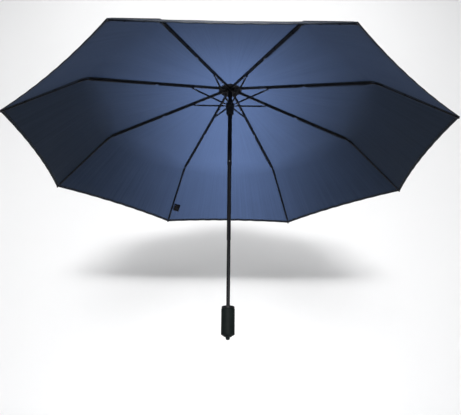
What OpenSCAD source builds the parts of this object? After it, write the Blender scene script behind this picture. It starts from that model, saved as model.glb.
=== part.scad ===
// Compact folding umbrella, open: eight three-section ribs on a telescopic shaft.
// Millimetres. The origin is the lowest point of the handle, on the shaft's axis, and +Z runs up the shaft.
// Rib 1 stands at -22.5 degrees from +X and the others follow counter-clockwise, 45 degrees apart.

/* [Canopy] */
// Radius from the shaft's axis to the rib tips
canopy_r = 500; // [490:1:505]
// Height of the rib tips above the end of the handle
tip_z = 418.6; // [410:0.2:430]
// Thickness of the cloth
cloth = 0.5; // [0.4:0.1:0.8]
// How far the middle of each hem is pulled in
scallop = 10; // [4:1:16]
// How far the middle of each gore sinks below the ribs
gore_sag = 5; // [0:1:10]

/* [Ribs] */
// Height of the rib pivots in the notch
hub_z = 605; // [602:1:608]
// Slope of the inner and middle rib sections, in degrees below level
rib_slope = 10.86; // [10:0.02:11]
// Length of the inner section, notch to middle joint
inner_len = 176; // [174:1:180]
// Length of the middle section, middle joint to elbow
middle_len = 166; // [160:1:166]
// Width of the rib channels
rib_w = 4; // [3.6:0.1:4.4]
// Half the height of the rib channels
rib_half = 1.8; // [1.6:0.1:2]
// Wall of the rib channels
rib_wall = 0.6; // [0.5:0.05:0.7]
// Radius of the outer rods
rod_r = 1.1; // [1:0.05:1.2]
// Radius of the rivets
rivet_r = 0.6; // [0.5:0.05:0.65]

/* [Stretchers and runner] */
// Stretcher length between its two pivots, the same as notch to rib pin
strut = 91; // [90:0.5:92]
// Slope of the stretchers and of the line from notch to rib pin
strut_slope = 13.8; // [13.5:0.1:14.2]
// Radius of the pivot rings in the notch and in the runner
pivot_r = 8.5; // [8.4:0.1:8.8]
// Radius of the notch and of the runner's crown
crown_r = 10.3; // [10:0.1:10.8]
// Radius of the runner's sleeve
sleeve_r = 9; // [8.6:0.1:9.2]
// Height of the runner below its pivots
runner_drop = 27; // [24:1:29]

/* [Shaft] */
// Outer radius of the top tube
top_tube_r = 5.15; // [5.15:0.01:5.15]
// Outer radius of the middle tube
mid_tube_r = 4.5; // [4.5:0.01:4.5]
// Outer radius of the bottom tube
bottom_tube_r = 3.92; // [3.92:0.01:3.92]
// Height of the top tube's lower end
top_tube_z = 398.6; // [396:0.2:400]
// Height of the middle tube's lower end
mid_tube_z = 216.8; // [216:0.2:218]
// Length of tube that stays inside the next one
tube_overlap = 25; // [22:1:26]

/* [Handle] */
// Radius of the grip
grip_r = 14.3; // [14:0.1:15]
// Height of the top of the grip
grip_top = 70; // [69:0.5:70]
// Radius of the stud at the handle's end
nub_r = 4.5; // [4:0.1:5]

/* [Hidden] */
$fn = 48;
eps = 0.01;

// Clearances of a part that slides on a tube, and of a pin in its hole
slide_gap = 0.08;
pin_gap = 0.06;

rib_count = 8;
rib_step = 360 / rib_count;
first_rib = -rib_step / 2;

// Hinged ends: half thickness of a tongue, radius of its eye, radius of the cheeks around it
tongue_t = 0.8;
eye_r = 1.5;
cheek_r = 1.6;
slot_half = tongue_t + 0.4;
wire_r = 0.5;
slot_floor_r = 6.6;

// Rib pin, in the inner section's own frame: along it, and below it
pin_u = strut * cos(strut_slope - rib_slope);
pin_v = -strut * sin(strut_slope - rib_slope);
runner_z = hub_z - 2 * strut * sin(strut_slope);
// The middle joint hinges above the channels, and the elbow below them
joint_v = rib_half + 0.3;
elbow_u = inner_len + middle_len;
elbow_v = -rib_half - 0.3;
elbow_x = pivot_r + elbow_u * cos(rib_slope) + elbow_v * sin(rib_slope);
elbow_z = hub_z - elbow_u * sin(rib_slope) + elbow_v * cos(rib_slope);
// The outer rod lies above the line from the elbow's pin, so that it folds flat under the middle section
rod_v = 0.5 + rod_r;
tip_dx = canopy_r - elbow_x;
tip_dz = elbow_z - tip_z;
tip_reach = sqrt(tip_dx * tip_dx + tip_dz * tip_dz);
outer_slope = atan2(tip_dz, tip_dx) + asin(rod_v / tip_reach);
outer_len = sqrt(tip_reach * tip_reach - rod_v * rod_v);

// Canopy profile above a rib: its underside runs from the notch over the elbow to the tip
notch_top = hub_z + 3.4;
rosette_t = 0.6;
canopy_in_r = 7;
canopy_in_z = notch_top + rosette_t + 0.5;
bend_r = elbow_x + 1.2;
bend_z = elbow_z + 7;
hem_r = canopy_r + 0.8;
hem_z = tip_z + rod_r + 1.7;
bend_round = 12;

function lerp(a, b, t) = a + (b - a) * t;
upper_len = norm([bend_r - canopy_in_r, bend_z - canopy_in_z]);
lower_len = norm([hem_r - bend_r, hem_z - bend_z]);
profile_len = upper_len + lower_len;
// Point of the profile at the distance s along it, with the bend over the elbow rounded
function on_upper(s) = lerp([canopy_in_r, canopy_in_z], [bend_r, bend_z], s / upper_len);
function on_lower(s) = lerp([bend_r, bend_z], [hem_r, hem_z], (s - upper_len) / lower_len);
function on_bend(t) = lerp(lerp(on_upper(upper_len - bend_round), [bend_r, bend_z], t),
    lerp([bend_r, bend_z], on_lower(upper_len + bend_round), t), t);
function profile(s) = s < upper_len - bend_round ? on_upper(s)
    : s > upper_len + bend_round ? on_lower(s)
    : on_bend((s - upper_len + bend_round) / (2 * bend_round));

// Rows of a gore along the ribs, and columns across it
gore_rows = 16;
gore_cols = 8;
seam_gap = 0.15;
gore_points = (gore_rows + 1) * (gore_cols + 1);
// Point of a gore's underside: t is 0 at the shaft and 1 at the hem, c runs from -1 to 1 across
function gore_point(t, c, lift) = let(
        mid = 1 - c * c,
        spot = profile(profile_len * t),
        sag = mid * gore_sag * pow(sin(180 * min(1, t * 1.15)), 2),
        x = spot[0] * cos(rib_step / 2) - mid * scallop * pow(t, 6) - 0.3 * sag,
        y = c * (spot[0] * sin(rib_step / 2) - seam_gap))
    [x, y, spot[1] - sag + mid * 1.5 * t + lift];

module at_rib(k) {
    rotate([0, 0, first_rib + rib_step * (k - 1)])
        children();
}

// Frame of the inner and middle sections: +X along the rib, +Z its upper side, the origin at the notch's pivot
module rib_frame(k) {
    at_rib(k)
        translate([pivot_r, 0, hub_z])
            rotate([0, rib_slope, 0])
                children();
}

// Frame of the outer section, with its origin at the elbow's pin
module outer_frame(k) {
    at_rib(k)
        translate([elbow_x, 0, elbow_z])
            rotate([0, outer_slope, 0])
                children();
}

// Round bar across a rib, centred on its middle plane
module cross_bar(u, v, r, half) {
    translate([u, 0, v])
        rotate([90, 0, 0])
            cylinder(r = r, h = 2 * half, center = true);
}

// Flat bar along a rib, from u0 to u1 and from v0 to v1
module flat_bar(u0, u1, v0, v1, half) {
    translate([u0, -half, v0])
        cube([u1 - u0, 2 * half, v1 - v0]);
}

// Channel with its open side down
module channel(u0, u1) {
    difference() {
        flat_bar(u0, u1, -rib_half, rib_half, rib_w / 2);
        flat_bar(u0 - 1, u1 + 1, -rib_half - 1, rib_half - rib_wall, rib_w / 2 - rib_wall);
    }
}

// Headed rivet through two cheeks
module rivet(u, v, half) {
    cross_bar(u, v, rivet_r, half + 0.1);
    for (side = [-1, 1])
        translate([u, side * (half + 0.25), v])
            rotate([90, 0, 0])
                cylinder(r = rivet_r + 0.5, h = 0.3, center = true);
}

module rib_inner(k) {
    half = rib_w / 2;
    narrow_half = 1.3;
    narrow_end = pin_u - 4;
    color("#1b1c20") rib_frame(k) {
        difference() {
            union() {
                cross_bar(0, 0, eye_r, tongue_t);
                flat_bar(0, 10, -1.2, 1.2, tongue_t);
                flat_bar(9, narrow_end, -1.3, 1.3, narrow_half);
                flat_bar(narrow_end - 1, narrow_end + 2, -rib_half, rib_half, half);
                channel(narrow_end, inner_len - 4);
                for (side = [-1, 1])
                    translate([0, side * (half - rib_wall / 2), 0]) {
                        cross_bar(pin_u, pin_v, cheek_r, rib_wall / 2);
                        flat_bar(pin_u - cheek_r, pin_u + cheek_r, pin_v, rib_half, rib_wall / 2);
                        cross_bar(inner_len, joint_v, cheek_r, rib_wall / 2);
                        flat_bar(inner_len - 6, inner_len, -rib_half, joint_v, rib_wall / 2);
                    }
            }
            cross_bar(0, 0, wire_r + 0.1, half);
            cross_bar(pin_u, pin_v, rivet_r + 0.02, half + 1);
            cross_bar(inner_len, joint_v, rivet_r + 0.02, half + 1);
        }
        rivet(pin_u, pin_v, half);
        rivet(inner_len, joint_v, half);
    }
}

module rib_middle(k) {
    half = rib_w / 2 - 0.2;
    tongue_len = 8;
    link_y = 2.5;
    link_v = -3.1;
    link_start = inner_len + 14;
    link_end = elbow_u - 20;
    color("#1b1c20") rib_frame(k) {
        difference() {
            union() {
                cross_bar(inner_len, joint_v, eye_r, tongue_t);
                flat_bar(inner_len, inner_len + tongue_len + 2, -0.6, joint_v, tongue_t);
                channel(inner_len + tongue_len - 1, elbow_u - tongue_len + 1);
                flat_bar(inner_len + tongue_len - 1, inner_len + tongue_len + 3, 1 - rib_half, rib_half, half);
                flat_bar(elbow_u - tongue_len - 3, elbow_u - tongue_len + 1, 1 - rib_half, rib_half, half);
                flat_bar(elbow_u - tongue_len - 2, elbow_u, elbow_v, 0.6, tongue_t);
                cross_bar(elbow_u, elbow_v, eye_r, tongue_t);
            }
            cross_bar(inner_len, joint_v, rivet_r + pin_gap, half);
            cross_bar(elbow_u, elbow_v, rivet_r + pin_gap, half);
        }
        // Link wire beside the channel, with an end bent up at each side
        translate([0, link_y, 0]) {
            translate([link_start, 0, link_v])
                rotate([0, 90, 0])
                    cylinder(r = 0.4, h = link_end - link_start);
            for (u = [link_start, link_end])
                translate([u, 0, link_v - 0.6])
                    cylinder(r = 0.48, h = 0.6 - link_v + 1);
        }
    }
}

module rib_outer(k) {
    half = 1.8;
    block_end = 19;
    cap_len = 9;
    color("#1b1c20") outer_frame(k) {
        // Elbow block: a fork on the middle section's tongue, and a socket for the rod
        difference() {
            union() {
                for (side = [-1, 1])
                    translate([0, side * (half - rib_wall / 2), 0]) {
                        cross_bar(0, 0, cheek_r, rib_wall / 2);
                        flat_bar(0, 8, 0.3, rod_v + rod_r + 0.4, rib_wall / 2);
                    }
                flat_bar(7, block_end, 0.3, rod_v + rod_r + 0.4, half);
            }
            cross_bar(0, 0, rivet_r + 0.02, half + 1);
            translate([9, 0, rod_v])
                rotate([0, 90, 0])
                    cylinder(r = rod_r + 0.02, h = block_end);
        }
        rivet(0, 0, half);
        translate([9.1, 0, rod_v])
            rotate([0, 90, 0])
                cylinder(r = rod_r, h = outer_len - cap_len + 4 - 9.1);
        // Tip cap with a round end, which holds the hem
        difference() {
            union() {
                translate([outer_len - cap_len, 0, rod_v])
                    rotate([0, 90, 0])
                        cylinder(r1 = 1.6, r2 = 2, h = cap_len - 2);
                translate([outer_len - 2, 0, rod_v])
                    sphere(r = 2);
            }
            translate([outer_len - cap_len - 1, 0, rod_v])
                rotate([0, 90, 0])
                    cylinder(r = rod_r + 0.03, h = 5.2);
        }
    }
}

module stretcher(k) {
    color("#1b1c20") at_rib(k)
        translate([pivot_r, 0, runner_z])
            rotate([0, -strut_slope, 0])
                difference() {
                    union() {
                        cross_bar(0, 0, eye_r, tongue_t);
                        flat_bar(0, 10, -1, 1, tongue_t);
                        flat_bar(8, strut - 8, -1.3, 1.3, 1.6);
                        flat_bar(strut - 10, strut, -1, 1, tongue_t);
                        cross_bar(strut, 0, eye_r, tongue_t);
                    }
                    // Channel with its open side down, between two closed ends
                    flat_bar(12, strut - 12, -2.3, 0.8, 1.1);
                    cross_bar(0, 0, wire_r + 0.1, 2);
                    cross_bar(strut, 0, rivet_r + pin_gap, 2);
                }
}

module gore(k) {
    rows = [for (lift = [0, cloth]) for (i = [0:gore_rows]) for (j = [0:gore_cols])
        gore_point(i / gore_rows, 2 * j / gore_cols - 1, lift)];
    wide = gore_cols + 1;
    under = [for (i = [0:gore_rows - 1]) for (j = [0:gore_cols - 1]) let(a = i * wide + j)
        each [[a, a + wide, a + 1], [a + 1, a + wide, a + wide + 1]]];
    over = [for (face = under) [gore_points + face[0], gore_points + face[2], gore_points + face[1]]];
    rim = concat([for (j = [0:gore_cols - 1]) [j, j + 1]],
        [for (i = [0:gore_rows - 1]) [i * wide + gore_cols, (i + 1) * wide + gore_cols]],
        [for (j = [0:gore_cols - 1]) [gore_rows * wide + j + 1, gore_rows * wide + j]],
        [for (i = [0:gore_rows - 1]) [(i + 1) * wide, i * wide]]);
    edge = [for (e = rim)
        each [[e[0], e[1], e[1] + gore_points], [e[0], e[1] + gore_points, e[0] + gore_points]]];
    color("#33435f") rotate([0, 0, rib_step * (k - 1)])
        polyhedron(points = rows, faces = concat(under, over, edge));
}

// Ring that threads the hinged ends
module pivot_ring() {
    rotate_extrude()
        translate([pivot_r, 0])
            circle(r = wire_r, $fn = 24);
}

// Eight radial slots for the hinged ends, open outwards
module hinge_slots(low, high) {
    for (k = [1:rib_count])
        at_rib(k)
            translate([slot_floor_r, -slot_half, low])
                cube([crown_r, 2 * slot_half, high - low]);
}

module notch() {
    color("#141518") difference() {
        union() {
            translate([0, 0, hub_z - 7])
                cylinder(r = crown_r, h = notch_top - hub_z + 6);
            translate([0, 0, notch_top - 1 - eps])
                cylinder(r1 = crown_r, r2 = crown_r - 5, h = 1 + eps);
        }
        translate([0, 0, hub_z - 8])
            cylinder(r = top_tube_r + 0.02, h = 30);
        hinge_slots(hub_z - 8, hub_z + 2);
        translate([0, 0, hub_z])
            rotate_extrude()
                translate([pivot_r, 0])
                    circle(r = wire_r + 0.03, $fn = 24);
    }
}

module notch_wire() {
    color("#8d9096") translate([0, 0, hub_z])
        pivot_ring();
}

module runner() {
    groove_w = 2.6;
    color("#141518") translate([0, 0, runner_z]) difference() {
        union() {
            translate([0, 0, -6])
                cylinder(r = crown_r, h = 9.6);
            translate([0, 0, -8.4])
                cylinder(r1 = sleeve_r, r2 = crown_r, h = 2.4 + eps);
            translate([0, 0, -runner_drop + 5])
                cylinder(r = sleeve_r, h = runner_drop - 5 - 8.4 + eps);
            translate([0, 0, -runner_drop])
                cylinder(r1 = sleeve_r - 1.3, r2 = sleeve_r, h = 5 + eps);
        }
        translate([0, 0, -runner_drop - 1])
            cylinder(r = top_tube_r + slide_gap, h = runner_drop + 10);
        hinge_slots(-2.2, 10);
        rotate_extrude()
            translate([pivot_r, 0])
                circle(r = wire_r + 0.03, $fn = 24);
        // Groove that passes over the catch, on the side turned away from the front
        translate([-groove_w / 2, 0, -runner_drop - 1])
            cube([groove_w, top_tube_r + 1.1, runner_drop + 10]);
    }
}

module runner_wire() {
    color("#8d9096") translate([0, 0, runner_z])
        pivot_ring();
}

// Conical disc whose underside drops to the rim
module rosette(r, z, drop) {
    rotate_extrude()
        polygon([[canopy_in_r - 1, z], [r, z - drop], [r, z - drop + rosette_t], [canopy_in_r - 1, z + rosette_t]]);
}

module inner_rosette() {
    color("#101114") rosette(28.5, canopy_in_z - rosette_t - 0.2, 5.3);
}

module outer_rosette() {
    color("#101114") rosette(21, canopy_in_z + cloth + 0.4, 2.6);
}

module top_cap() {
    base_z = canopy_in_z + cloth + rosette_t + 0.5;
    shank_r = 4.4;
    color("#141518") {
        translate([0, 0, hub_z])
            cylinder(r = shank_r, h = base_z - hub_z + 1);
        translate([0, 0, base_z])
            rotate_extrude()
                polygon([[0, 0], [9, 0], [9, 1.6], for (a = [0:10:90]) [2.2 + 5.6 * cos(a), 2.6 + 8 * sin(a)],
                    [0, 10.6]]);
    }
}

module tube(r_in, r_out, z0, z1) {
    translate([0, 0, z0])
        difference() {
            cylinder(r = r_out, h = z1 - z0);
            translate([0, 0, -1])
                cylinder(r = r_in, h = z1 - z0 + 2);
        }
}

catch_r = 1.6;
upper_catch_z = top_tube_z + 10;
lower_catch_z = mid_tube_z + 10;
runner_catch_z = runner_z - runner_drop - 4;

// Round window through one wall of a tube; side is -1 for the front and 1 for the back
module catch_window(z, side) {
    translate([0, 0, z])
        rotate([-90 * side, 0, 0])
            cylinder(r = catch_r + 0.2, h = 10);
}

module top_tube() {
    color("#17181b") difference() {
        tube(mid_tube_r + slide_gap, top_tube_r, top_tube_z, hub_z + 1);
        catch_window(upper_catch_z, -1);
        // Slot of the runner's catch
        translate([-1.1, 0, runner_catch_z - 15])
            cube([2.2, 10, 19]);
    }
}

module mid_tube() {
    color("#1b1c1f") difference() {
        tube(bottom_tube_r + slide_gap, mid_tube_r, mid_tube_z, top_tube_z + tube_overlap);
        catch_window(lower_catch_z, 1);
        catch_window(upper_catch_z, -1);
    }
}

module bottom_tube() {
    color("#1b1c1f") difference() {
        tube(bottom_tube_r - 0.5, bottom_tube_r, 16, mid_tube_z + tube_overlap);
        catch_window(lower_catch_z, 1);
    }
}

// Sprung button that shows in a tube's window and lies just inside the tube around it
module catch_button(z, side, face_r) {
    color("#b9bcc2") translate([0, 0, z])
        rotate([-90 * side, 0, 0]) {
            translate([0, 0, face_r - 1.8])
                cylinder(r = catch_r, h = 1.3);
            translate([0, 0, face_r - 0.5 - eps])
                cylinder(r1 = catch_r, r2 = 0.9, h = 0.5);
        }
}

// Bent leaf that pushes a button out from the far wall of the tube
module catch_leaf(z, side, wall_r) {
    foot = wall_r - 0.55;
    color("#a9adb3") translate([0, 0, z])
        rotate([90, 0, 90 * side])
            translate([0, 0, -1.2])
                linear_extrude(2.4)
                    polygon([[-foot, -9], [0.6 - foot, -9], [1.1, 3], [1.1, 5], [0.7, 5], [0.7, 3.1],
                        [0.4 - foot, -7.4], [0.4 - foot, 9], [-foot, 9]]);
}

module lower_catch() { catch_button(lower_catch_z, 1, bottom_tube_r - 0.15); }

module upper_catch() { catch_button(upper_catch_z, -1, mid_tube_r - 0.15); }

module lower_catch_spring() { catch_leaf(lower_catch_z, 1, bottom_tube_r - 0.5); }

module upper_catch_spring() { catch_leaf(upper_catch_z, -1, bottom_tube_r + slide_gap); }

// Sheet catch in the top tube's slot, with the nose that the runner rests on
module runner_catch() {
    color("#a9adb3") translate([0, 0, runner_catch_z])
        rotate([90, 0, 90])
            translate([0, 0, -0.9])
                linear_extrude(1.8)
                    polygon([[4.65, -14.5], [5.05, -14.5], [5.05, -6], [6, 0.5], [6, 3], [5.05, 3.6], [4.65, 3.6]]);
}

module end_nub() {
    color("#121513") rotate_extrude()
        polygon([for (a = [-90:15:0]) [nub_r * cos(a), 3.4 + 3.4 * sin(a)], [nub_r, 14], [0, 14]]);
}

module handle_core() {
    color("#1d201e") difference() {
        translate([0, 0, 14.2])
            cylinder(r = grip_r - 2.6, h = grip_top - 5 - 14.2);
        translate([0, 0, 15.8])
            cylinder(r = bottom_tube_r + 0.02, h = 80);
    }
}

module handle_grip() {
    shoulder = 6.5;
    edge = 1.6;
    color("#171c19") difference() {
        rotate_extrude()
            polygon([[nub_r + 0.05, shoulder], [nub_r + 2.6, shoulder], [grip_r - 2.2, shoulder + 3.6],
                for (a = [-60:20:0]) [grip_r - 2.6 + 2.6 * cos(a), shoulder + 6 + 2.6 * sin(a)],
                for (a = [0:30:90]) [grip_r - edge + edge * cos(a), grip_top - 5 - edge + edge * sin(a)],
                [grip_r - 2.6, grip_top - 5],
                [nub_r + 0.05, grip_top - 5]]);
        translate([0, 0, 14.1])
            cylinder(r = grip_r - 2.55, h = 80);
    }
}

module handle_collar() {
    color("#141715") rotate_extrude()
        polygon([[bottom_tube_r + 0.05, grip_top - 4.9], [grip_r - 0.5, grip_top - 4.9],
            for (a = [0:22.5:90]) [grip_r - 2.9 + 2.4 * cos(a), grip_top - 2.4 + 2.4 * sin(a)],
            [bottom_tube_r + 1.4, grip_top], [bottom_tube_r + 0.05, grip_top - 0.8]]);
}

// Folded closing strap, beside the rod of rib 4 near the hem
module tie_strap() {
    strap_at = 124;
    gore_tilt = 14.4;
    color("#0e0f11") outer_frame(4)
        rotate([gore_tilt, 0, 0])
            difference() {
                translate([strap_at, -21, -1.4])
                    cube([26, 18, 2.4]);
                translate([strap_at + 1, -20, -0.4])
                    cube([26, 18, 0.4]);
            }
}

handle_grip();
handle_core();
handle_collar();
end_nub();
bottom_tube();
mid_tube();
top_tube();
lower_catch();
lower_catch_spring();
upper_catch();
upper_catch_spring();
runner_catch();
runner();
runner_wire();
notch();
notch_wire();
inner_rosette();
outer_rosette();
top_cap();
tie_strap();
for (k = [1:rib_count]) rib_inner(k);
for (k = [1:rib_count]) rib_middle(k);
for (k = [1:rib_count]) rib_outer(k);
for (k = [1:rib_count]) stretcher(k);
for (k = [1:rib_count]) gore(k);
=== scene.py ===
"""A compact folding umbrella, open and seen from below.

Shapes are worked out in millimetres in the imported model's frame and turned into metres as each mesh is made.
"""
import math

import bpy
import numpy as np
from mathutils import Matrix, Vector


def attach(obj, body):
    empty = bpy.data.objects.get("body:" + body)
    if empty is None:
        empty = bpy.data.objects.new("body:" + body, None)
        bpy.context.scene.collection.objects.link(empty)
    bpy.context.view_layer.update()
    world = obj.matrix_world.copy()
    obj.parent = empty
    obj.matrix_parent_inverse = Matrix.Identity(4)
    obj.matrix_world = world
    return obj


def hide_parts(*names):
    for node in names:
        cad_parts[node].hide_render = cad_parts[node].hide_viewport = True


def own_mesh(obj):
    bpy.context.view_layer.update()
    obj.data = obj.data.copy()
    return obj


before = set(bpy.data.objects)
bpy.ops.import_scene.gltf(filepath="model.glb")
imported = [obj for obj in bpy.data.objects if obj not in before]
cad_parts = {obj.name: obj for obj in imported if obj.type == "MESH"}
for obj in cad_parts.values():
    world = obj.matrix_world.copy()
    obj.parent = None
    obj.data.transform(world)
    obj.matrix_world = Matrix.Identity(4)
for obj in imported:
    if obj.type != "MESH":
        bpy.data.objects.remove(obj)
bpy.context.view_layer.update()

# ---------------------------------------------------------------- sizes, in millimetres, as in the CAD source
RIBS = range(1, 9)
STEP = math.radians(45)
HALF = STEP / 2
HUB_Z = 605.0
PIVOT_R = 8.5
SLOPE = math.radians(10.86)
INNER_LEN, MIDDLE_LEN = 176.0, 166.0
JOINT_V, ELBOW_V = 2.1, -2.1
CANOPY_R, TIP_Z = 500.0, 418.6
ROD_V = 1.6
SCALLOP, SAG = 10.0, 5.0
CLOTH_MID = 0.25
ROSETTE_T, ROSETTE_HOLE_R, ROSETTE_LIFT = 0.6, 6.0, 0.45

# Half the length of the cloth's bend over the elbow, on the rib and what it gains in the middle of the gore
RIB_BEND, EXTRA_BEND = 12.0, 24.0

# Heights of the soft folds, of the puckers beside the seams, of the ripples at the hem, and of the hem's lift
FOLD_HIGH, PUCKER_HIGH, RIPPLE_HIGH, HEM_LIFT = 0.45, 0.22, 0.5, 1.5

# Distance from the shaft at which the caps of the outer rods begin, in metres
CAP_START = 0.4925


def rib_point(u, v):
    """Distance from the shaft and height of a point of a rib's inner or middle section."""
    return np.array([
        PIVOT_R + u * math.cos(SLOPE) + v * math.sin(SLOPE),
        HUB_Z - u * math.sin(SLOPE) + v * math.cos(SLOPE),
    ])


JOINT = rib_point(INNER_LEN, JOINT_V)
ELBOW = rib_point(INNER_LEN + MIDDLE_LEN, ELBOW_V)
TIP_REACH = math.hypot(CANOPY_R - ELBOW[0], ELBOW[1] - TIP_Z)
OUTER_SLOPE = math.atan2(ELBOW[1] - TIP_Z, CANOPY_R - ELBOW[0]) + math.asin(ROD_V / TIP_REACH)

START = np.array([7.0, HUB_Z + 4.5])
BEND = ELBOW + np.array([1.2, 7.0])
HEM = np.array([CANOPY_R + 0.8, TIP_Z + 2.8])
UPPER_LEN = float(np.linalg.norm(BEND - START))
LOWER_LEN = float(np.linalg.norm(HEM - BEND))
LENGTH = UPPER_LEN + LOWER_LEN
BEND_T = UPPER_LEN / LENGTH


def profile(s, soft):
    """Distance from the shaft and height of the cloth, at the length s along a rib.

    The cloth bends over the elbow, and soft is half the length of that bend.
    """
    s, soft = np.broadcast_arrays(np.asarray(s, float), np.asarray(soft, float))
    up, down = (BEND - START) / UPPER_LEN, (HEM - BEND) / LOWER_LEN
    before = START + s[..., None] * up
    after = BEND + (s - UPPER_LEN)[..., None] * down
    t = np.clip((s - UPPER_LEN + soft) / (2 * soft), 0, 1)[..., None]
    first, last = BEND - soft[..., None] * up, BEND + soft[..., None] * down
    bend = first * (1 - t) ** 2 + 2 * BEND * t * (1 - t) + last * t ** 2
    spot = np.where(t <= 0, before, np.where(t >= 1, after, bend))
    return spot[..., 0], spot[..., 1]


def canopy(t, c, gore=1):
    """Points of a gore's cloth, with the gore's middle on +X.

    t runs from the shaft to the hem, and c from -1 to 1 across.
    """
    t, c = np.broadcast_arrays(np.asarray(t, float), np.asarray(c, float))
    mid = 1 - c * c
    r, z = profile(LENGTH * t, RIB_BEND + EXTRA_BEND * mid)
    sag = SAG * mid * np.sin(np.pi * np.minimum(1, 1.15 * t)) ** 2
    fold = FOLD_HIGH * mid * np.sin(9 * c + 1.7 * gore) * np.sin(np.pi * np.clip(t, 0, 1))
    beside = (1 - np.abs(c)) * r * math.sin(HALF)
    pucker = PUCKER_HIGH * np.exp(-((beside - 7) / 6) ** 2) * np.sin(LENGTH * t * 0.42 + gore)
    ripple = RIPPLE_HIGH * mid * np.clip((t - 0.9) / 0.1, 0, 1.2) * np.sin(31 * c + 2.3 * gore)
    x = r * math.cos(HALF) - SCALLOP * mid * t ** 6 - 0.3 * sag
    y = c * r * math.sin(HALF)
    return np.stack([x, y, z - sag + HEM_LIFT * mid * t + fold + pucker + ripple + CLOTH_MID], -1)


def canopy_normals(t, c, gore):
    """Unit normals of the cloth, on its outer side."""
    d = 1e-4
    along = canopy(t + d, c, gore) - canopy(t - d, c, gore)
    across = canopy(t, c + d, gore) - canopy(t, c - d, gore)
    normals = np.cross(along, across)
    return normals / np.linalg.norm(normals, axis=-1, keepdims=True)


def turned(points, angle):
    """Points or vectors turned about the shaft's axis."""
    cos, sin = math.cos(angle), math.sin(angle)
    points = np.asarray(points, float)
    return np.stack([
        points[..., 0] * cos - points[..., 1] * sin,
        points[..., 0] * sin + points[..., 1] * cos,
        points[..., 2],
    ], -1)


def rib_angle(k):
    return STEP * (k - 1) - HALF


def unit(v):
    v = np.asarray(v, float)
    return v / np.linalg.norm(v, axis=-1, keepdims=True)


# ---------------------------------------------------------------- meshes
class Form:
    """Grids and stitches gathered into one mesh.

    Normals that are given keep a surface smooth over the cuts between pieces.
    """

    def __init__(self):
        self.points, self.normals, self.metres, self.places = [], [], [], []
        self.faces, self.looks = [], []
        self.count = 0

    def add(self, points, faces, look, normals=None, metres=None, places=None):
        points = np.asarray(points, float).reshape(-1, 3)
        flat = np.zeros((len(points), 2))
        self.points.append(points)
        self.normals.append(np.zeros_like(points) if normals is None else np.asarray(normals).reshape(-1, 3))
        self.metres.append(flat if metres is None else np.asarray(metres).reshape(-1, 2))
        self.places.append(flat if places is None else np.asarray(places).reshape(-1, 2))
        self.faces.extend((np.asarray(faces) + self.count).tolist())
        self.looks.extend([look] * len(faces))
        self.count += len(points)

    def grid(self, points, look=0, flip=False, wrap=False, normals=None, metres=None, places=None):
        """Rows and columns of points joined by quads. With wrap the last column joins the first."""
        rows, cols = points.shape[:2]
        i, j = np.meshgrid(np.arange(rows - 1), np.arange(cols if wrap else cols - 1), indexing="ij")
        after = (j + 1) % cols
        quads = np.stack([i * cols + j, (i + 1) * cols + j, (i + 1) * cols + after, i * cols + after], -1)
        quads = quads.reshape(-1, 4)
        if metres is None:
            over = np.zeros((rows, cols))
            down = np.zeros((rows, cols))
            over[:, 1:] = np.cumsum(np.linalg.norm(np.diff(points, axis=1), axis=-1), axis=1)
            down[1:] = np.cumsum(np.linalg.norm(np.diff(points, axis=0), axis=-1), axis=0)
            metres = np.stack([over, down], -1) / 1000
        self.add(points, quads[:, ::-1] if flip else quads, look, normals, metres, places)

    def stitches(self, points, normals, look, long=2.4, gap=1.0, wide=0.32, high=0.34):
        """A row of stitches along a line of points, lying on the side that the normals point to."""
        steps = np.linalg.norm(np.diff(points, axis=0), axis=1)
        at = np.concatenate([[0], np.cumsum(steps)])
        count = int(at[-1] / (long + gap))
        if count < 1:
            return
        s = (np.arange(count) + 0.5) * at[-1] / count
        spot = np.stack([np.interp(s, at, points[:, a]) for a in range(3)], -1)
        ahead = np.stack([np.interp(s + 0.5, at, points[:, a]) for a in range(3)], -1)
        behind = np.stack([np.interp(s - 0.5, at, points[:, a]) for a in range(3)], -1)
        along = unit(ahead - behind)
        up = unit(np.stack([np.interp(s, at, normals[:, a]) for a in range(3)], -1))
        side = np.cross(along, up)
        corners = np.stack([
            spot - along * long / 2,
            spot + along * long / 2,
            spot + side * wide,
            spot - side * wide,
            spot + up * high,
            spot - up * 0.1,
        ], 1)
        one = np.array([
            [0, 2, 4], [0, 4, 3], [1, 4, 2], [1, 3, 4],
            [0, 5, 2], [0, 3, 5], [1, 2, 5], [1, 5, 3],
        ])
        faces = (one[None] + 6 * np.arange(count)[:, None, None]).reshape(-1, 3)
        self.add(corners, faces, look)

    def build(self, name, *looks):
        mesh = bpy.data.meshes.new(name)
        mesh.from_pydata((np.concatenate(self.points) / 1000).tolist(), [], self.faces)
        mesh.polygons.foreach_set("material_index", np.array(self.looks, np.int32))
        mesh.polygons.foreach_set("use_smooth", np.ones(len(self.faces), bool))
        corner = np.empty(len(mesh.loops), np.int32)
        mesh.loops.foreach_get("vertex_index", corner)
        for layer_name, values in (("metres", self.metres), ("gore", self.places)):
            layer = mesh.uv_layers.new(name=layer_name)
            layer.data.foreach_set("uv", np.concatenate(values)[corner].astype(np.float32).ravel())
        for look in looks:
            mesh.materials.append(look)
        mesh.update()
        normals = np.concatenate(self.normals)
        if np.any(normals):
            mesh.normals_split_custom_set_from_vertices(normals.tolist())
        obj = bpy.data.objects.new(name, mesh)
        bpy.context.scene.collection.objects.link(obj)
        return obj


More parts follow.
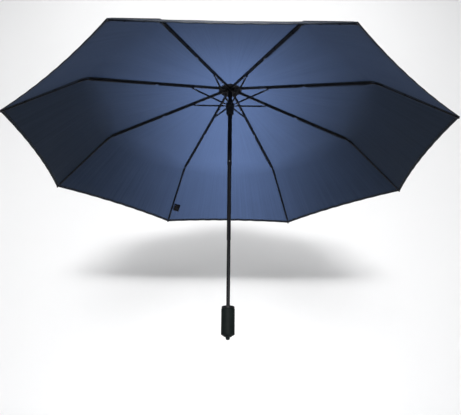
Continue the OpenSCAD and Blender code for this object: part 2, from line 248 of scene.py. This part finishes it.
# ---------------------------------------------------------------- materials
def add_node(mat, kind, settings=None, **inputs):
    """A new node in a material, with its inputs given by name, or by place as in0, in1.

    An input is a number, a colour or another node's output.
    """
    n = mat.node_tree.nodes.new(kind)
    for key, value in (settings or {}).items():
        setattr(n, key, value)
    for key, value in inputs.items():
        by_place = key[:2] == "in" and key[2:].isdigit()
        socket = n.inputs[int(key[2:]) if by_place else key.replace("_", " ")]
        if isinstance(value, bpy.types.NodeSocket):
            mat.node_tree.links.new(value, socket)
        else:
            socket.default_value = value
    return n


def maths(mat, operation, *values):
    return add_node(mat, "ShaderNodeMath", {"operation": operation},
                    **{f"in{i}": v for i, v in enumerate(values)}).outputs[0]


def shader_of(name, **sockets):
    """A material and its Principled shader, with uniform values set on the shader's own sockets."""
    mat = bpy.data.materials.new(name)
    mat.use_nodes = True
    shader = next(n for n in mat.node_tree.nodes if n.type == "BSDF_PRINCIPLED")
    for key, value in sockets.items():
        shader.inputs[key.replace("_", " ")].default_value = value
    return mat, shader


def set_surface(mat, surface):
    """Send a shader's output to the material's surface."""
    out = next(n for n in mat.node_tree.nodes if n.type == "OUTPUT_MATERIAL")
    mat.node_tree.links.new(surface, out.inputs["Surface"])


def noise(mat, where, scale, detail=3.0, roughness=0.55):
    return add_node(mat, "ShaderNodeTexNoise", Vector=where, Scale=scale, Detail=detail,
                    Roughness=roughness).outputs["Fac"]


def spread(mat, value, low, high, out_low, out_high):
    """A value stretched from low..high to out_low..out_high."""
    return add_node(mat, "ShaderNodeMapRange", Value=value, From_Min=low, From_Max=high, To_Min=out_low,
                    To_Max=out_high).outputs[0]


def blend_colours(mat, factor, first, second):
    n = add_node(mat, "ShaderNodeMix", {"data_type": "RGBA"})
    for socket, value in ((n.inputs[0], factor), (n.inputs[6], first), (n.inputs[7], second)):
        if isinstance(value, bpy.types.NodeSocket):
            mat.node_tree.links.new(value, socket)
        else:
            socket.default_value = value
    return n.outputs[2]


def bump(mat, height, strength, distance, below=None):
    links = {"Normal": below} if below is not None else {}
    return add_node(mat, "ShaderNodeBump", Height=height, Strength=strength, Distance=distance,
                    **links).outputs["Normal"]


def weave(mat, pitch):
    """Height of a plain weave, over and under in both directions, and the two cloth directions in metres."""
    at = add_node(mat, "ShaderNodeUVMap", {"uv_map": "metres"}).outputs[0]
    parts = add_node(mat, "ShaderNodeSeparateXYZ", Vector=at)
    u, v = parts.outputs[0], parts.outputs[1]
    turns = math.pi / pitch
    warp = maths(mat, "SINE", maths(mat, "MULTIPLY", u, turns))
    weft = maths(mat, "SINE", maths(mat, "MULTIPLY", v, turns))
    return maths(mat, "MULTIPLY", warp, weft), at


def cloth_look(name, dark, light, shine=0.5, sheen=0.3, glow=None, pitch=0.00035):
    """Plain-woven cloth, with slub and with dye that is uneven along the threads.

    Light comes through it if glow is a colour.
    """
    mat, shader = shader_of(name, Sheen_Weight=sheen, Sheen_Roughness=0.45, Specular_IOR_Level=0.12)
    over_under, at = weave(mat, pitch)
    place = add_node(mat, "ShaderNodeUVMap", {"uv_map": "gore"}).outputs[0]
    along = add_node(mat, "ShaderNodeMapping", Vector=place, Scale=(46.0, 1.6, 1.0)).outputs[0]
    streak = noise(mat, along, 1.0, 4.0, 0.7)
    threads = add_node(mat, "ShaderNodeMapping", Vector=at, Scale=(1500.0, 60.0, 1.0)).outputs[0]
    slub = noise(mat, threads, 1.0, 2.0)
    mottle = noise(mat, at, 9.0, 3.0)
    tone = maths(mat, "ADD", maths(mat, "MULTIPLY", streak, 0.62), maths(mat, "MULTIPLY", slub, 0.2))
    tone = maths(mat, "ADD", tone, maths(mat, "MULTIPLY", mottle, 0.18))
    tone = spread(mat, tone, 0.36, 0.64, 0.0, 1.0)
    colour = blend_colours(mat, tone, dark, light)
    normal = bump(mat, over_under, 0.35, 0.00008)
    normal = bump(mat, streak, 0.25, 0.0006, normal)
    links = mat.node_tree.links
    links.new(colour, shader.inputs["Base Color"])
    links.new(spread(mat, maths(mat, "ADD", slub, mottle), 0.7, 1.3, shine - 0.05, shine + 0.07),
              shader.inputs["Roughness"])
    links.new(normal, shader.inputs["Normal"])
    if glow is not None:
        lit = blend_colours(mat, tone, [0.86 * c for c in glow] + [1], [1.14 * c for c in glow] + [1])
        through = add_node(mat, "ShaderNodeBsdfTranslucent", Color=lit, Normal=normal)
        mixed = add_node(mat, "ShaderNodeMixShader", in0=0.5, in1=shader.outputs[0], in2=through.outputs[0])
        set_surface(mat, mixed.outputs[0])
    return mat


def hard_look(name, dark, light, rough, spots=180.0, grain=900.0, height=0.00002, wear=0.0, stretch=(1, 1, 1),
              **sockets):
    """Painted, moulded or bare metal surface, with uneven tone, fine grain and faint wear."""
    mat, shader = shader_of(name, **sockets)
    at = add_node(mat, "ShaderNodeTexCoord").outputs["Object"]
    drawn = add_node(mat, "ShaderNodeMapping", Vector=at, Scale=stretch).outputs[0]
    tone = noise(mat, drawn, spots, 4.0)
    fine = noise(mat, drawn, grain, 2.0)
    colour = blend_colours(mat, spread(mat, tone, 0.35, 0.65, 0.0, 1.0), dark, light)
    links = mat.node_tree.links
    if wear:
        rub = maths(mat, "GREATER_THAN", noise(mat, drawn, spots * 3, 6.0, 0.7), 0.68)
        colour = blend_colours(mat, maths(mat, "MULTIPLY", rub, wear), colour, (0.32, 0.32, 0.33, 1))
    links.new(colour, shader.inputs["Base Color"])
    links.new(spread(mat, fine, 0.3, 0.7, rough - 0.05, rough + 0.08), shader.inputs["Roughness"])
    links.new(bump(mat, fine, 0.4, height), shader.inputs["Normal"])
    return mat, colour, shader


pongee = cloth_look("navy_pongee", (0.0095, 0.0135, 0.0160, 1), (0.0165, 0.0225, 0.0262, 1), 0.7, 0.02,
                    glow=(0.032, 0.0505, 0.1055))
binding = cloth_look("hem_binding", (0.007, 0.010, 0.015, 1), (0.012, 0.016, 0.023, 1), 0.75, 0.02)
seam_cloth = cloth_look("seam_cloth", (0.006, 0.0085, 0.0125, 1), (0.010, 0.0135, 0.019, 1), 0.75, 0.02)
black_cloth = cloth_look("black_cloth", (0.004, 0.004, 0.006, 1), (0.008, 0.008, 0.011, 1), 0.8, 0.03,
                         pitch=0.0005)
thread = cloth_look("sewing_thread", (0.012, 0.016, 0.030, 1), (0.020, 0.027, 0.050, 1), pitch=0.0002)
tube_black, _, _ = hard_look("gloss_black_tube", (0.004, 0.004, 0.005, 1), (0.007, 0.007, 0.008, 1), 0.3,
                             spots=60.0, grain=1400.0, height=0.000006, wear=0.06, stretch=(1, 1, 0.08),
                             Specular_IOR_Level=0.06)
rib_black, rib_colour, rib_shader = hard_look(
    "black_rib_steel", (0.005, 0.005, 0.006, 1), (0.010, 0.010, 0.012, 1), 0.38, spots=120.0, grain=1000.0,
    height=0.00001, wear=0.08, Specular_IOR_Level=0.15)
steel, _, _ = hard_look("bright_steel", (0.52, 0.53, 0.55, 1), (0.68, 0.69, 0.71, 1), 0.24, spots=300.0,
                        grain=1600.0, height=0.000006, stretch=(1, 1, 0.2), Metallic=1.0)
plastic, _, _ = hard_look("black_moulded_plastic", (0.005, 0.005, 0.006, 1), (0.009, 0.009, 0.010, 1), 0.45,
                          spots=90.0, grain=1300.0, height=0.00003, Specular_IOR_Level=0.12)
grip_look, _, _ = hard_look("soft_touch_grip", (0.0036, 0.0056, 0.0054, 1), (0.0062, 0.0090, 0.0086, 1), 0.6,
                            spots=70.0, grain=1700.0, height=0.00004, Specular_IOR_Level=0.06)

# The moulded cap at the end of each outer rod is evenly black, without the painted steel's wear.
at = add_node(rib_black, "ShaderNodeTexCoord").outputs["Object"]
level_at = add_node(rib_black, "ShaderNodeVectorMath", {"operation": "MULTIPLY"}, in0=at, in1=(1, 1, 0))
away = add_node(rib_black, "ShaderNodeVectorMath", {"operation": "LENGTH"},
                in0=level_at.outputs[0]).outputs["Value"]
is_cap = maths(rib_black, "GREATER_THAN", away, CAP_START)
rib_black.node_tree.links.new(blend_colours(rib_black, is_cap, rib_colour, (0.006, 0.006, 0.008, 1)),
                              rib_shader.inputs["Base Color"])

LOOKS = {
    "handle_grip": grip_look, "handle_core": plastic, "handle_collar": plastic, "end_nub": grip_look,
    "bottom_tube": tube_black, "mid_tube": tube_black, "top_tube": tube_black,
    "lower_catch": steel, "upper_catch": steel, "lower_catch_spring": steel, "upper_catch_spring": steel,
    "runner_catch": steel, "notch_wire": steel, "runner_wire": steel,
    "runner": plastic, "notch": plastic, "top_cap": plastic,
}
for name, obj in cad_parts.items():
    look = LOOKS.get(name, rib_black)
    if not obj.material_slots:
        obj.data.materials.append(look)
    for place in obj.material_slots:
        place.material = look


# ---------------------------------------------------------------- canopy
def crossing(c, side, spot, slope, low, high):
    """Where each column of a half gore crosses the plane through spot square to a rib of that slope."""
    low, high = np.full_like(c, low), np.full_like(c, high)
    for _ in range(40):
        t = (low + high) / 2
        p = canopy(t, c)
        out = p[..., 0] * math.cos(HALF) - side * p[..., 1] * math.sin(HALF)
        ahead = (out - spot[0]) * math.cos(slope) - (p[..., 2] - spot[1]) * math.sin(slope) > 0
        high = np.where(ahead, t, high)
        low = np.where(ahead, low, t)
    return (low + high) / 2


COLS = 14
HEM_STITCH_BACK = 5.6
HEM_SECTION = ((7.2, 0.15), (7.0, 0.55), (5.0, 0.72), (0.5, 0.75), (-0.1, 0.5), (-0.3, 0.0), (-0.1, -0.5),
               (0.5, -0.75), (5.0, -0.72), (7.0, -0.55), (7.2, -0.15))


def half_gore(k, side):
    """The cloth from rib k to the middle of the gore beside it, cut where the rib's joints fold it."""
    gore = k if side > 0 else (k - 2) % 8 + 1
    angle = STEP * (gore - 1)
    c = -side * (1 - np.arange(COLS + 1) / COLS)
    joint_t = crossing(c, side, JOINT, SLOPE, 0.1, BEND_T)
    bend_t = np.full_like(c, BEND_T)
    elbow_t = crossing(c, side, ELBOW, OUTER_SLOPE, BEND_T, 1.0)
    regions = (
        ("inner", np.zeros_like(c), joint_t, 30, f"rib_{k}_inner", SLOPE),
        ("middle", joint_t, bend_t, 34, f"rib_{k}_middle", SLOPE),
        ("corner", bend_t, elbow_t, 12, f"rib_{k}_outer", OUTER_SLOPE),
        ("outer", elbow_t, np.ones_like(c), 30, f"rib_{k}_outer", OUTER_SLOPE),
    )
    for part, begin, end, rows, body, slope in regions:
        share = np.linspace(0, 1, rows + 1)[:, None]
        t = begin[None] * (1 - share) + end[None] * share
        wide = np.broadcast_to(c, t.shape)
        points = canopy(t, wide, gore)
        metres = np.stack([points[..., 1], LENGTH * t], -1) / 1000
        places = np.stack([wide + 3 * gore, t], -1)
        normals = turned(canopy_normals(t, wide, gore), angle)
        form = Form()
        form.grid(turned(points, angle), flip=side < 0, normals=normals, metres=metres, places=places)
        if part == "outer":
            add_hem(form, c, side, gore, angle)
        piece = form.build(f"canopy_{k}_{part}_{'a' if side > 0 else 'b'}", pongee, binding, thread)
        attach(piece, body)
        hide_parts(f"gore_{gore}")
        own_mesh(piece)


def add_hem(form, c, side, gore, angle):
    """The folded binding round the hem, with a row of stitches on each face."""
    fine = np.interp(np.linspace(0, 1, 2 * COLS + 1), np.linspace(0, 1, COLS + 1), c)
    rows = []
    for back, out in HEM_SECTION:
        t = 1 - back / LENGTH
        rows.append(canopy(t, fine, gore) + out * canopy_normals(np.minimum(t, 1.0), fine, gore))
    form.grid(turned(np.stack(rows), angle), 1, side < 0)
    stitch_t = 1 - HEM_STITCH_BACK / LENGTH
    for out in (0.7, -0.7):
        line = canopy(stitch_t, fine, gore)
        normals = canopy_normals(stitch_t, fine, gore) * np.sign(out)
        form.stitches(turned(line + normals * abs(out), angle), turned(normals, angle), 2)


def rib_strip(form, k, first, last, section, look, rows, lines=()):
    """A strip sewn along a rib's seam from one length to another.

    The section and the lines of stitches are given as (across, out) in millimetres.
    """
    s = np.linspace(first, last, rows)
    r, z = profile(s, RIB_BEND)
    r2, z2 = profile(s + 0.5, RIB_BEND)
    r1, z1 = profile(s - 0.5, RIB_BEND)
    up = unit(np.stack([z1 - z2, np.zeros_like(s), r2 - r1], -1))
    line = np.stack([r, np.zeros_like(s), z + CLOTH_MID], -1)
    y = np.array([0.0, 1.0, 0.0])
    points = np.stack([line + out * up + across * y for across, out in section], 1)
    form.grid(turned(points, rib_angle(k)), look, flip=section[0][0] > section[-1][0])
    for across, out in lines:
        sign = np.sign(out)
        form.stitches(turned(line + out * up + across * y, rib_angle(k)), turned(up * sign, rib_angle(k)), 1)


OUTER_SEAM = (
    (-2.9, -0.1), (-2.5, 0.5), (-1.2, 0.72), (0.0, 0.8), (1.2, 0.72), (2.5, 0.5), (2.9, -0.1),
)
INNER_TAPE = (
    (-2.0, -0.5), (-1.9, -1.1), (-1.0, -1.08), (0.0, -0.95), (1.0, -1.08), (1.9, -1.1), (2.0, -0.5),
)


def seam_point(s):
    """Point of the cloth at the length s along a rib that points to +X."""
    r, z = profile(np.array([s]), RIB_BEND)
    return np.array([float(r[0]), 0, float(z[0])])


def rib_normal(slope):
    return np.array([math.sin(slope), 0, math.cos(slope)])


def thread_tie(form, k, s, below):
    """Three turns of thread that hold the seam down on the rib."""
    slope = SLOPE if s < UPPER_LEN else OUTER_SLOPE
    along = np.array([math.cos(slope), 0, -math.sin(slope)])
    up = rib_normal(slope)
    middle = seam_point(s)
    turns = np.linspace(0, 2 * math.pi, 25)[:-1]
    for shift in (-0.7, 0.0, 0.7):
        centre = middle + along * shift + up * (0.5 - below / 2)
        ring = centre + np.outer(np.sin(turns), up) * (below / 2 + 0.3) + np.outer(
            np.sign(np.cos(turns)) * np.abs(np.cos(turns)) ** 0.6, [0, 2.35, 0])
        out = unit(ring - centre)
        around = np.linspace(0, 2 * math.pi, 7)[:-1]
        tube = np.stack([ring + 0.28 * (math.cos(a) * out + math.sin(a) * along) for a in around], 1)
        tube = np.concatenate([tube, tube[:1]])
        form.grid(turned(tube, rib_angle(k)), 2, wrap=True)


for k in RIBS:
    for side in (1, -1):
        half_gore(k, side)

on_the_rib = np.array([-1.0])
joint_s = LENGTH * float(crossing(on_the_rib, 1, JOINT, SLOPE, 0.1, BEND_T)[0])
elbow_s = LENGTH * float(crossing(on_the_rib, 1, ELBOW, OUTER_SLOPE, BEND_T, 1.0)[0])

# Each section's seam: its two ends, its rows, and its ties, each at a length and with the depth it reaches to
SEAM_PARTS = (
    ("inner", 16.0, joint_s, 60, ((70.0, 6.4), (150.0, 7.0))),
    ("middle", joint_s, elbow_s - 3.0, 50, ((235.0, 7.6), (310.0, 8.6))),
    ("outer", elbow_s, LENGTH - 11.0, 60, ((420.0, 5.6), (490.0, 4.8))),
)
for k in RIBS:
    for part, first, last, rows, ties in SEAM_PARTS:
        form = Form()
        rib_strip(form, k, first, last, OUTER_SEAM, 0, rows, ((-1.5, 0.68), (1.5, 0.68)))
        rib_strip(form, k, first, last, INNER_TAPE[::-1], 0, rows, ((-1.45, -1.1), (1.45, -1.1)))
        for s, below in ties:
            thread_tie(form, k, s, below)
        seam = form.build(f"seam_{k}_{part}", seam_cloth, thread, black_cloth)
        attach(seam, f"rib_{k}_{part}")
        up = turned(rib_normal(OUTER_SLOPE if part == "outer" else SLOPE), rib_angle(k))
        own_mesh(seam)


# ---------------------------------------------------------------- rosettes, strap
def rosette(name, node_name, radius, z, drop, under):
    """A stitched cloth disc that dips to its rim and lifts a little between the ribs."""
    around = np.linspace(0, 2 * math.pi, 97)[:-1]
    rings = np.concatenate([np.linspace(ROSETTE_HOLE_R, radius - 1.2, 9), [radius - 0.5, radius]])

    def share_of(r):
        return (r - ROSETTE_HOLE_R) / (radius - ROSETTE_HOLE_R)

    def height_at(r):
        share = share_of(r)
        return z - drop * share + ROSETTE_LIFT * share ** 2 * np.sin(4 * (around + HALF)) ** 2

    form = Form()
    for upper in (False, True):
        rows = []
        for r in rings:
            edge = 0.18 * np.sin(40 * around) * (share_of(r) > 0.9)
            # The two faces meet halfway at the rim
            height = height_at(r) + (0.5 * ROSETTE_T if r == rings[-1] else ROSETTE_T * upper)
            rows.append(np.stack([(r + edge) * np.cos(around), (r + edge) * np.sin(around), height], -1))
        form.grid(np.stack(rows), 0, flip=not upper, wrap=True)
    for r in (radius - 2.6, 12.0):
        height = height_at(r) + (0 if under else ROSETTE_T)
        ring = np.stack([r * np.cos(around), r * np.sin(around), height], -1)
        ring = np.concatenate([ring, ring[:1]])
        form.stitches(ring, np.tile([0, 0, -1.0 if under else 1.0], (len(ring), 1)), 1)
    piece = form.build(name, black_cloth, thread)
    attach(piece, "top_shaft")
    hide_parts(node_name)


rosette("rosette_under_canopy", "inner_rosette", 28.5, START[1] - 0.8, 5.3, True)
rosette("rosette_over_canopy", "outer_rosette", 21.0, START[1] + 0.9, 2.6, False)

# The strap's tilt with the cloth, its height over the CAD strap, its two long edges beside the rib, half its
# thickness, the height of its lowest face, and the place of its press stud
GORE_TILT = math.radians(14.4)
STRAP_LIFT = 1.6
STRAP_EDGES = (-21.0, -3.0)
STRAP_HALF_T = 0.16
STRAP_UNDER = -3.1
STUD_U, STUD_Y, STUD_SIDES = 137.5, -12, 32


def strap():
    """The closing strap, folded twice on itself and sewn beside the rod of rib 4."""
    half_turn = np.linspace(0.3, math.pi - 0.3, 7)
    path = [(125.0, -0.85), (137.0, -0.75), (148.0, -0.9)]
    path += [(148.3 + 0.62 * math.sin(a), -1.5 + 0.62 * math.cos(a)) for a in half_turn]
    path += [(142.0, -2.1), (132.0, -1.95), (127.2, -2.1)]
    path += [(127.0 - 0.42 * math.sin(a), -2.5 + 0.4 * math.cos(a)) for a in half_turn]
    path += [(132.0, -2.95), (142.0, -2.85), (146.0, -3.0)]
    path = np.array(path)
    steps = np.concatenate([[0], np.cumsum(np.linalg.norm(np.diff(path, axis=0), axis=1))])
    s = np.linspace(0, steps[-1], 72)
    line = np.stack([np.interp(s, steps, path[:, 0]), np.interp(s, steps, path[:, 1])], -1)
    ahead = np.gradient(line, axis=0)
    up = unit(np.stack([-ahead[:, 1], ahead[:, 0]], -1))
    across = np.linspace(*STRAP_EDGES, 13)
    angle = rib_angle(4)

    def placed(u, v, y):
        """Points given along, over and beside the outer rib, tilted with the cloth."""
        u, v, y = np.broadcast_arrays(u, v + STRAP_LIFT, y)
        tilt_cos, tilt_sin = math.cos(GORE_TILT), math.sin(GORE_TILT)
        v, y = v * tilt_cos + y * tilt_sin, y * tilt_cos - v * tilt_sin
        r = ELBOW[0] + u * math.cos(OUTER_SLOPE) + v * math.sin(OUTER_SLOPE)
        z = ELBOW[1] - u * math.sin(OUTER_SLOPE) + v * math.cos(OUTER_SLOPE)
        return turned(np.stack([r, y, z], -1), angle)

    form = Form()
    u, y = line[:, 0][:, None], across[None]
    wave = 0.12 * np.sin(y * 0.8 + u * 0.2)
    sides = []
    for out in (STRAP_HALF_T, -STRAP_HALF_T):
        over = line[:, 1][:, None] + out * up[:, 1][:, None] + wave
        sides.append(placed(u + out * up[:, 0][:, None], over, y))
    form.grid(sides[0])
    form.grid(sides[1], flip=True)
    form.grid(np.stack([sides[0][:, 0], sides[1][:, 0]], 1), flip=True)
    form.grid(np.stack([sides[0][:, -1], sides[1][:, -1]], 1))
    down = placed(np.zeros(2), np.array([0.0, -1.0]), np.zeros(2))
    down = unit(down[1] - down[0])
    stitched = (-19.6, -4.4)
    low = np.full(12, STRAP_UNDER)
    lines = [placed(np.linspace(129, 145, 12), low, np.full(12, edge)) for edge in stitched]
    lines += [placed(np.full(12, end), low, np.linspace(*stitched, 12)) for end in (130.0, 144.5)]
    for under in lines:
        form.stitches(under, np.tile(down, (12, 1)), 1)
    piece = form.build("closing_strap", black_cloth, thread)
    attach(piece, "rib_4_outer")
    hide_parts("tie_strap")

    # Press stud through the strap's end
    around = np.linspace(0, 2 * math.pi, STUD_SIDES + 1)[:-1]
    section = [
        (0.0, -4.3), (1.4, -4.3), (1.8, -4.05), (2.6, -4.0),
        (3.4, -4.15), (3.9, -4.0), (4.1, -3.6), (4.1, -3.1),
    ]
    stud = Form()
    rows = [
        placed(STUD_U + r * np.cos(around), np.full(STUD_SIDES, v), STUD_Y + r * np.sin(around))
        for r, v in section
    ]
    stud.grid(np.stack(rows), wrap=True, flip=True)
    button = stud.build("strap_press_stud", plastic)
    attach(button, "rib_4_outer")


strap()


# ---------------------------------------------------------------- stage, light and camera
def stage_mesh(name, points, look):
    form = Form()
    form.grid(points * 1000)
    obj = form.build(name, look)


paper, paper_shader = shader_of("studio_paper", Roughness=0.9, Specular_IOR_Level=0.1)
paper_tone = noise(paper, add_node(paper, "ShaderNodeTexCoord").outputs["Object"], 1.2, 2.0)
paper_colour = blend_colours(paper, paper_tone, (0.86, 0.86, 0.865, 1), (0.90, 0.90, 0.90, 1))
paper.node_tree.links.new(paper_colour, paper_shader.inputs["Base Color"])

# Only the side that faces the umbrella is seen, so that views from behind look through it
clear = add_node(paper, "ShaderNodeBsdfTransparent")
behind = add_node(paper, "ShaderNodeNewGeometry").outputs["Backfacing"]
paper_mix = add_node(paper, "ShaderNodeMixShader", in0=behind, in1=paper_shader.outputs[0],
                     in2=clear.outputs[0])
set_surface(paper, paper_mix.outputs[0])

FLOOR_Z, WALL_Y, SWEEP = -0.6, 1.3, 0.5
bend = np.linspace(0, math.pi / 2, 17)
sweep_y = np.concatenate([[-4.0, -1.0], WALL_Y - SWEEP + SWEEP * np.sin(bend), [WALL_Y, WALL_Y]])
sweep_z = np.concatenate([[FLOOR_Z, FLOOR_Z], FLOOR_Z + SWEEP * (1 - np.cos(bend)), [1.5, 3.0]])
sweep_x = np.linspace(-4, 4, 9)
sweep_points = np.stack(np.broadcast_arrays(sweep_x[None], sweep_y[:, None], sweep_z[:, None]), -1)
stage_mesh("studio_sweep", sweep_points[:, ::-1], paper)


def area_light(name, place, target, size, power, spread_deg=180):
    data = bpy.data.lights.new(name, "AREA")
    data.shape = "RECTANGLE"
    data.size, data.size_y = size
    data.energy = power
    data.spread = math.radians(spread_deg)
    obj = bpy.data.objects.new(name, data)
    obj.location = place
    obj.rotation_mode = "QUATERNION"
    obj.rotation_quaternion = (Vector(target) - Vector(place)).to_track_quat("-Z", "Y")
    bpy.context.scene.collection.objects.link(obj)


area_light("top_strip", (0.0, 0.36, 1.15), (0, 0.36, 0), (0.1, 1.2), 8.6, 64)
area_light("front_low", (0.0, -3.2, 0.392), (0, 1.3, 0.392), (0.6, 0.16), 105)
area_light("front_high", (0.0, -2.8, 0.66), (0, 1.3, 0.5), (0.6, 0.4), 33)
area_light("wall_light", (0.0, 0.3, 2.9), (0, 1.3, 1.6), (2.2, 0.3), 4, 80)

world = bpy.data.worlds.new("studio")
world.use_nodes = True
backdrop = next(n for n in world.node_tree.nodes if n.type == "BACKGROUND")
backdrop.inputs["Color"].default_value = (0.93, 0.94, 0.96, 1)
backdrop.inputs["Strength"].default_value = 0.17
bpy.context.scene.world = world
bpy.context.scene.view_settings.view_transform = "Standard"

PITCH, YAW, ROLL = math.radians(21.0), math.radians(0.505), math.radians(-0.508)
CAMERA_AT = (-0.0064, -1.1027, -0.1299)
forward = Vector((math.sin(YAW) * math.cos(PITCH), math.cos(YAW) * math.cos(PITCH), math.sin(PITCH)))
level = Vector((math.cos(YAW), -math.sin(YAW), 0))
upright = level.cross(forward)
right = level * math.cos(ROLL) - upright * math.sin(ROLL)
up = level * math.sin(ROLL) + upright * math.cos(ROLL)
camera_data = bpy.data.cameras.new("camera")
camera_data.sensor_width = 36
camera_data.lens = 40.72
camera = bpy.data.objects.new("camera", camera_data)
axes = Matrix((right, up, -forward)).transposed().to_4x4()
camera.matrix_world = Matrix.Translation(CAMERA_AT) @ axes
bpy.context.scene.collection.objects.link(camera)
bpy.context.scene.camera = camera

bpy.context.view_layer.update()
